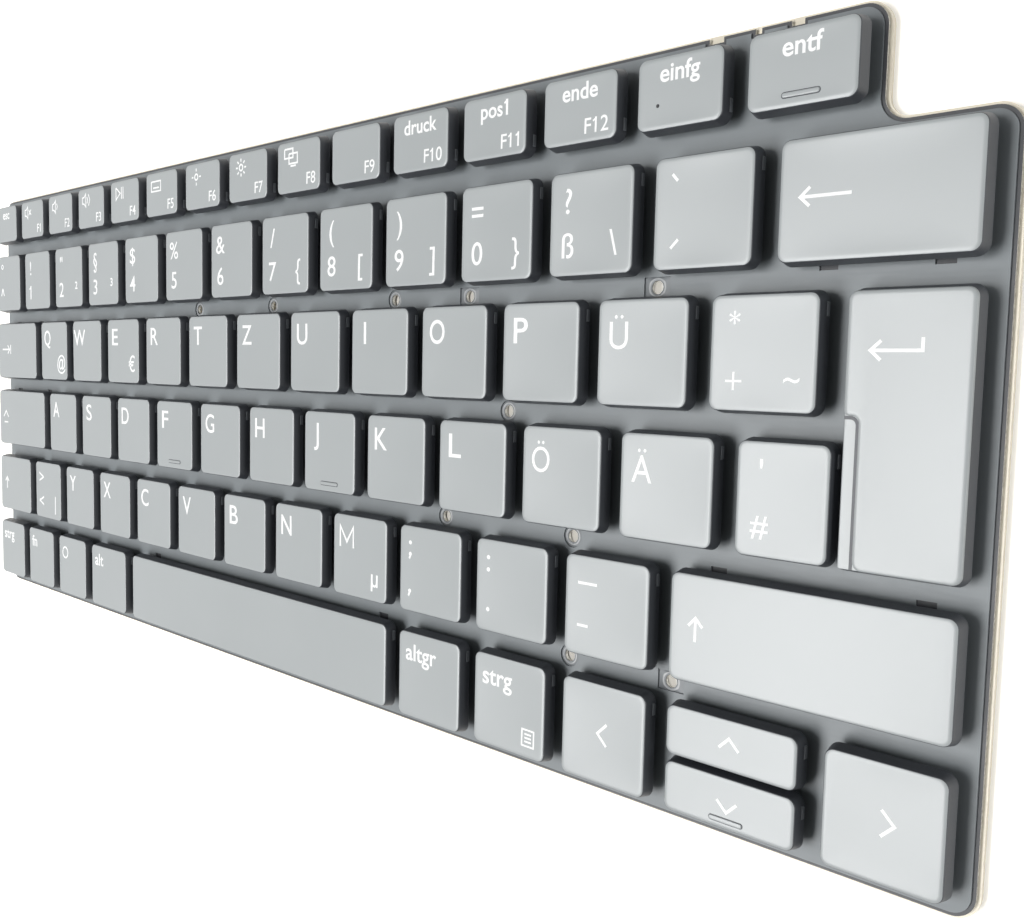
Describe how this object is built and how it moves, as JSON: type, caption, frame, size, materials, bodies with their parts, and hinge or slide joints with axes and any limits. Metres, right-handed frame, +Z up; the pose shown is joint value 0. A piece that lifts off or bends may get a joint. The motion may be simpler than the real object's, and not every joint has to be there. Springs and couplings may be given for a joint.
{
  "type": "laptop keyboard module",
  "caption": "Thin laptop keyboard module: rows of low, flat scissor-switch keys that press down on a stamped plate with a dark film, a pale light guide and one notched corner.",
  "frame": {"origin": "middle of the flat back", "axes": "+X along the rows to the enter key, +Y to the function row, +Z up out of the key tops"},
  "size_m": [0.2732, 0.1092, 0.0058],
  "materials": {
    "plate": "satin dark coat",
    "film": "satin film",
    "guide": "cut edge",
    "reflector": "matt",
    "dome": "silicone",
    "link": "moulded",
    "wire": "drawn",
    "cap": "satin coat"
  },
  "bodies": {
    "base": {"base_plate": "plate", "membrane_film": "film", "light_guide": "guide", "reflector_sheet": "reflector", "rubber_domes": "dome", "scissor_outer_links": "link", "scissor_inner_links": "link", "stabiliser_wires": "wire", "function_keys": "cap", "number_keys": "cap", "modifier_keys": "cap"},
    "key_a": {"key_a": "cap"},
    "key_ae": {"key_ae": "cap"},
    "key_alt_gr": {"key_alt_gr": "cap"},
    "key_arrow_down": {"key_arrow_down": "cap"},
    "key_arrow_left": {"key_arrow_left": "cap"},
    "key_arrow_right": {"key_arrow_right": "cap"},
    "key_arrow_up": {"key_arrow_up": "cap"},
    "key_b": {"key_b": "cap"},
    "key_backspace": {"key_backspace": "cap"},
    "key_c": {"key_c": "cap"},
    "key_caps_lock": {"key_caps_lock": "cap"},
    "key_comma": {"key_comma": "cap"},
    "key_d": {"key_d": "cap"},
    "key_delete": {"key_delete": "cap"},
    "key_e": {"key_e": "cap"},
    "key_enter": {"key_enter": "cap"},
    "key_f": {"key_f": "cap"},
    "key_g": {"key_g": "cap"},
    "key_h": {"key_h": "cap"},
    "key_hash": {"key_hash": "cap"},
    "key_i": {"key_i": "cap"},
    "key_j": {"key_j": "cap"},
    "key_k": {"key_k": "cap"},
    "key_l": {"key_l": "cap"},
    "key_left_shift": {"key_left_shift": "cap"},
    "key_less": {"key_less": "cap"},
    "key_m": {"key_m": "cap"},
    "key_minus": {"key_minus": "cap"},
    "key_n": {"key_n": "cap"},
    "key_o": {"key_o": "cap"},
    "key_oe": {"key_oe": "cap"},
    "key_p": {"key_p": "cap"},
    "key_period": {"key_period": "cap"},
    "key_plus": {"key_plus": "cap"},
    "key_q": {"key_q": "cap"},
    "key_r": {"key_r": "cap"},
    "key_right_ctrl": {"key_right_ctrl": "cap"},
    "key_right_shift": {"key_right_shift": "cap"},
    "key_s": {"key_s": "cap"},
    "key_space": {"key_space": "cap"},
    "key_t": {"key_t": "cap"},
    "key_tab": {"key_tab": "cap"},
    "key_u": {"key_u": "cap"},
    "key_ue": {"key_ue": "cap"},
    "key_v": {"key_v": "cap"},
    "key_w": {"key_w": "cap"},
    "key_x": {"key_x": "cap"},
    "key_y": {"key_y": "cap"},
    "key_z": {"key_z": "cap"}
  },
  "joints": [
    {"name": "a_press", "type": "slide", "parent": "base", "child": "key_a", "axis": [0, 0, -1], "range_m": [0, 0.0014], "stiffness_N_per_m": 400, "deforming": ["rubber_domes", "scissor_outer_links", "scissor_inner_links"]},
    {"name": "ae_press", "type": "slide", "parent": "base", "child": "key_ae", "axis": [0, 0, -1], "range_m": [0, 0.0014], "stiffness_N_per_m": 400, "deforming": ["rubber_domes", "scissor_outer_links", "scissor_inner_links"]},
    {"name": "alt_gr_press", "type": "slide", "parent": "base", "child": "key_alt_gr", "axis": [0, 0, -1], "range_m": [0, 0.0014], "stiffness_N_per_m": 400, "deforming": ["rubber_domes", "scissor_outer_links", "scissor_inner_links"]},
    {"name": "arrow_down_press", "type": "slide", "parent": "base", "child": "key_arrow_down", "axis": [0, 0, -1], "range_m": [0, 0.0014], "stiffness_N_per_m": 400, "deforming": ["rubber_domes", "scissor_outer_links", "scissor_inner_links"]},
    {"name": "arrow_left_press", "type": "slide", "parent": "base", "child": "key_arrow_left", "axis": [0, 0, -1], "range_m": [0, 0.0014], "stiffness_N_per_m": 400, "deforming": ["rubber_domes", "scissor_outer_links", "scissor_inner_links"]},
    {"name": "arrow_right_press", "type": "slide", "parent": "base", "child": "key_arrow_right", "axis": [0, 0, -1], "range_m": [0, 0.0014], "stiffness_N_per_m": 400, "deforming": ["rubber_domes", "scissor_outer_links", "scissor_inner_links"]},
    {"name": "arrow_up_press", "type": "slide", "parent": "base", "child": "key_arrow_up", "axis": [0, 0, -1], "range_m": [0, 0.0014], "stiffness_N_per_m": 400, "deforming": ["rubber_domes", "scissor_outer_links", "scissor_inner_links"]},
    {"name": "b_press", "type": "slide", "parent": "base", "child": "key_b", "axis": [0, 0, -1], "range_m": [0, 0.0014], "stiffness_N_per_m": 400, "deforming": ["rubber_domes", "scissor_outer_links", "scissor_inner_links"]},
    {"name": "backspace_press", "type": "slide", "parent": "base", "child": "key_backspace", "axis": [0, 0, -1], "range_m": [0, 0.0014], "stiffness_N_per_m": 400, "deforming": ["rubber_domes", "scissor_outer_links", "scissor_inner_links", "stabiliser_wires"]},
    {"name": "c_press", "type": "slide", "parent": "base", "child": "key_c", "axis": [0, 0, -1], "range_m": [0, 0.0014], "stiffness_N_per_m": 400, "deforming": ["rubber_domes", "scissor_outer_links", "scissor_inner_links"]},
    {"name": "caps_lock_press", "type": "slide", "parent": "base", "child": "key_caps_lock", "axis": [0, 0, -1], "range_m": [0, 0.0014], "stiffness_N_per_m": 400, "deforming": ["rubber_domes", "scissor_outer_links", "scissor_inner_links", "stabiliser_wires"]},
    {"name": "comma_press", "type": "slide", "parent": "base", "child": "key_comma", "axis": [0, 0, -1], "range_m": [0, 0.0014], "stiffness_N_per_m": 400, "deforming": ["rubber_domes", "scissor_outer_links", "scissor_inner_links"]},
    {"name": "d_press", "type": "slide", "parent": "base", "child": "key_d", "axis": [0, 0, -1], "range_m": [0, 0.0014], "stiffness_N_per_m": 400, "deforming": ["rubber_domes", "scissor_outer_links", "scissor_inner_links"]},
    {"name": "delete_press", "type": "slide", "parent": "base", "child": "key_delete", "axis": [0, 0, -1], "range_m": [0, 0.0014], "stiffness_N_per_m": 400, "deforming": ["rubber_domes", "scissor_outer_links", "scissor_inner_links"]},
    {"name": "e_press", "type": "slide", "parent": "base", "child": "key_e", "axis": [0, 0, -1], "range_m": [0, 0.0014], "stiffness_N_per_m": 400, "deforming": ["rubber_domes", "scissor_outer_links", "scissor_inner_links"]},
    {"name": "enter_press", "type": "slide", "parent": "base", "child": "key_enter", "axis": [0, 0, -1], "range_m": [0, 0.0014], "stiffness_N_per_m": 400, "deforming": ["rubber_domes", "scissor_outer_links", "scissor_inner_links", "stabiliser_wires"]},
    {"name": "f_press", "type": "slide", "parent": "base", "child": "key_f", "axis": [0, 0, -1], "range_m": [0, 0.0014], "stiffness_N_per_m": 400, "deforming": ["rubber_domes", "scissor_outer_links", "scissor_inner_links"]},
    {"name": "g_press", "type": "slide", "parent": "base", "child": "key_g", "axis": [0, 0, -1], "range_m": [0, 0.0014], "stiffness_N_per_m": 400, "deforming": ["rubber_domes", "scissor_outer_links", "scissor_inner_links"]},
    {"name": "h_press", "type": "slide", "parent": "base", "child": "key_h", "axis": [0, 0, -1], "range_m": [0, 0.0014], "stiffness_N_per_m": 400, "deforming": ["rubber_domes", "scissor_outer_links", "scissor_inner_links"]},
    {"name": "hash_press", "type": "slide", "parent": "base", "child": "key_hash", "axis": [0, 0, -1], "range_m": [0, 0.0014], "stiffness_N_per_m": 400, "deforming": ["rubber_domes", "scissor_outer_links", "scissor_inner_links"]},
    {"name": "i_press", "type": "slide", "parent": "base", "child": "key_i", "axis": [0, 0, -1], "range_m": [0, 0.0014], "stiffness_N_per_m": 400, "deforming": ["rubber_domes", "scissor_outer_links", "scissor_inner_links"]},
    {"name": "j_press", "type": "slide", "parent": "base", "child": "key_j", "axis": [0, 0, -1], "range_m": [0, 0.0014], "stiffness_N_per_m": 400, "deforming": ["rubber_domes", "scissor_outer_links", "scissor_inner_links"]},
    {"name": "k_press", "type": "slide", "parent": "base", "child": "key_k", "axis": [0, 0, -1], "range_m": [0, 0.0014], "stiffness_N_per_m": 400, "deforming": ["rubber_domes", "scissor_outer_links", "scissor_inner_links"]},
    {"name": "l_press", "type": "slide", "parent": "base", "child": "key_l", "axis": [0, 0, -1], "range_m": [0, 0.0014], "stiffness_N_per_m": 400, "deforming": ["rubber_domes", "scissor_outer_links", "scissor_inner_links"]},
    {"name": "left_shift_press", "type": "slide", "parent": "base", "child": "key_left_shift", "axis": [0, 0, -1], "range_m": [0, 0.0014], "stiffness_N_per_m": 400, "deforming": ["rubber_domes", "scissor_outer_links", "scissor_inner_links"]},
    {"name": "less_press", "type": "slide", "parent": "base", "child": "key_less", "axis": [0, 0, -1], "range_m": [0, 0.0014], "stiffness_N_per_m": 400, "deforming": ["rubber_domes", "scissor_outer_links", "scissor_inner_links"]},
    {"name": "m_press", "type": "slide", "parent": "base", "child": "key_m", "axis": [0, 0, -1], "range_m": [0, 0.0014], "stiffness_N_per_m": 400, "deforming": ["rubber_domes", "scissor_outer_links", "scissor_inner_links"]},
    {"name": "minus_press", "type": "slide", "parent": "base", "child": "key_minus", "axis": [0, 0, -1], "range_m": [0, 0.0014], "stiffness_N_per_m": 400, "deforming": ["rubber_domes", "scissor_outer_links", "scissor_inner_links"]},
    {"name": "n_press", "type": "slide", "parent": "base", "child": "key_n", "axis": [0, 0, -1], "range_m": [0, 0.0014], "stiffness_N_per_m": 400, "deforming": ["rubber_domes", "scissor_outer_links", "scissor_inner_links"]},
    {"name": "o_press", "type": "slide", "parent": "base", "child": "key_o", "axis": [0, 0, -1], "range_m": [0, 0.0014], "stiffness_N_per_m": 400, "deforming": ["rubber_domes", "scissor_outer_links", "scissor_inner_links"]},
    {"name": "oe_press", "type": "slide", "parent": "base", "child": "key_oe", "axis": [0, 0, -1], "range_m": [0, 0.0014], "stiffness_N_per_m": 400, "deforming": ["rubber_domes", "scissor_outer_links", "scissor_inner_links"]},
    {"name": "p_press", "type": "slide", "parent": "base", "child": "key_p", "axis": [0, 0, -1], "range_m": [0, 0.0014], "stiffness_N_per_m": 400, "deforming": ["rubber_domes", "scissor_outer_links", "scissor_inner_links"]},
    {"name": "period_press", "type": "slide", "parent": "base", "child": "key_period", "axis": [0, 0, -1], "range_m": [0, 0.0014], "stiffness_N_per_m": 400, "deforming": ["rubber_domes", "scissor_outer_links", "scissor_inner_links"]},
    {"name": "plus_press", "type": "slide", "parent": "base", "child": "key_plus", "axis": [0, 0, -1], "range_m": [0, 0.0014], "stiffness_N_per_m": 400, "deforming": ["rubber_domes", "scissor_outer_links", "scissor_inner_links"]},
    {"name": "q_press", "type": "slide", "parent": "base", "child": "key_q", "axis": [0, 0, -1], "range_m": [0, 0.0014], "stiffness_N_per_m": 400, "deforming": ["rubber_domes", "scissor_outer_links", "scissor_inner_links"]},
    {"name": "r_press", "type": "slide", "parent": "base", "child": "key_r", "axis": [0, 0, -1], "range_m": [0, 0.0014], "stiffness_N_per_m": 400, "deforming": ["rubber_domes", "scissor_outer_links", "scissor_inner_links"]},
    {"name": "right_ctrl_press", "type": "slide", "parent": "base", "child": "key_right_ctrl", "axis": [0, 0, -1], "range_m": [0, 0.0014], "stiffness_N_per_m": 400, "deforming": ["rubber_domes", "scissor_outer_links", "scissor_inner_links"]},
    {"name": "right_shift_press", "type": "slide", "parent": "base", "child": "key_right_shift", "axis": [0, 0, -1], "range_m": [0, 0.0014], "stiffness_N_per_m": 400, "deforming": ["rubber_domes", "scissor_outer_links", "scissor_inner_links", "stabiliser_wires"]},
    {"name": "s_press", "type": "slide", "parent": "base", "child": "key_s", "axis": [0, 0, -1], "range_m": [0, 0.0014], "stiffness_N_per_m": 400, "deforming": ["rubber_domes", "scissor_outer_links", "scissor_inner_links"]},
    {"name": "space_press", "type": "slide", "parent": "base", "child": "key_space", "axis": [0, 0, -1], "range_m": [0, 0.0014], "stiffness_N_per_m": 400, "deforming": ["rubber_domes", "scissor_outer_links", "scissor_inner_links", "stabiliser_wires"]},
    {"name": "t_press", "type": "slide", "parent": "base", "child": "key_t", "axis": [0, 0, -1], "range_m": [0, 0.0014], "stiffness_N_per_m": 400, "deforming": ["rubber_domes", "scissor_outer_links", "scissor_inner_links"]},
    {"name": "tab_press", "type": "slide", "parent": "base", "child": "key_tab", "axis": [0, 0, -1], "range_m": [0, 0.0014], "stiffness_N_per_m": 400, "deforming": ["rubber_domes", "scissor_outer_links", "scissor_inner_links", "stabiliser_wires"]},
    {"name": "u_press", "type": "slide", "parent": "base", "child": "key_u", "axis": [0, 0, -1], "range_m": [0, 0.0014], "stiffness_N_per_m": 400, "deforming": ["rubber_domes", "scissor_outer_links", "scissor_inner_links"]},
    {"name": "ue_press", "type": "slide", "parent": "base", "child": "key_ue", "axis": [0, 0, -1], "range_m": [0, 0.0014], "stiffness_N_per_m": 400, "deforming": ["rubber_domes", "scissor_outer_links", "scissor_inner_links"]},
    {"name": "v_press", "type": "slide", "parent": "base", "child": "key_v", "axis": [0, 0, -1], "range_m": [0, 0.0014], "stiffness_N_per_m": 400, "deforming": ["rubber_domes", "scissor_outer_links", "scissor_inner_links"]},
    {"name": "w_press", "type": "slide", "parent": "base", "child": "key_w", "axis": [0, 0, -1], "range_m": [0, 0.0014], "stiffness_N_per_m": 400, "deforming": ["rubber_domes", "scissor_outer_links", "scissor_inner_links"]},
    {"name": "x_press", "type": "slide", "parent": "base", "child": "key_x", "axis": [0, 0, -1], "range_m": [0, 0.0014], "stiffness_N_per_m": 400, "deforming": ["rubber_domes", "scissor_outer_links", "scissor_inner_links"]},
    {"name": "y_press", "type": "slide", "parent": "base", "child": "key_y", "axis": [0, 0, -1], "range_m": [0, 0.0014], "stiffness_N_per_m": 400, "deforming": ["rubber_domes", "scissor_outer_links", "scissor_inner_links"]},
    {"name": "z_press", "type": "slide", "parent": "base", "child": "key_z", "axis": [0, 0, -1], "range_m": [0, 0.0014], "stiffness_N_per_m": 400, "deforming": ["rubber_domes", "scissor_outer_links", "scissor_inner_links"]}
  ]
}
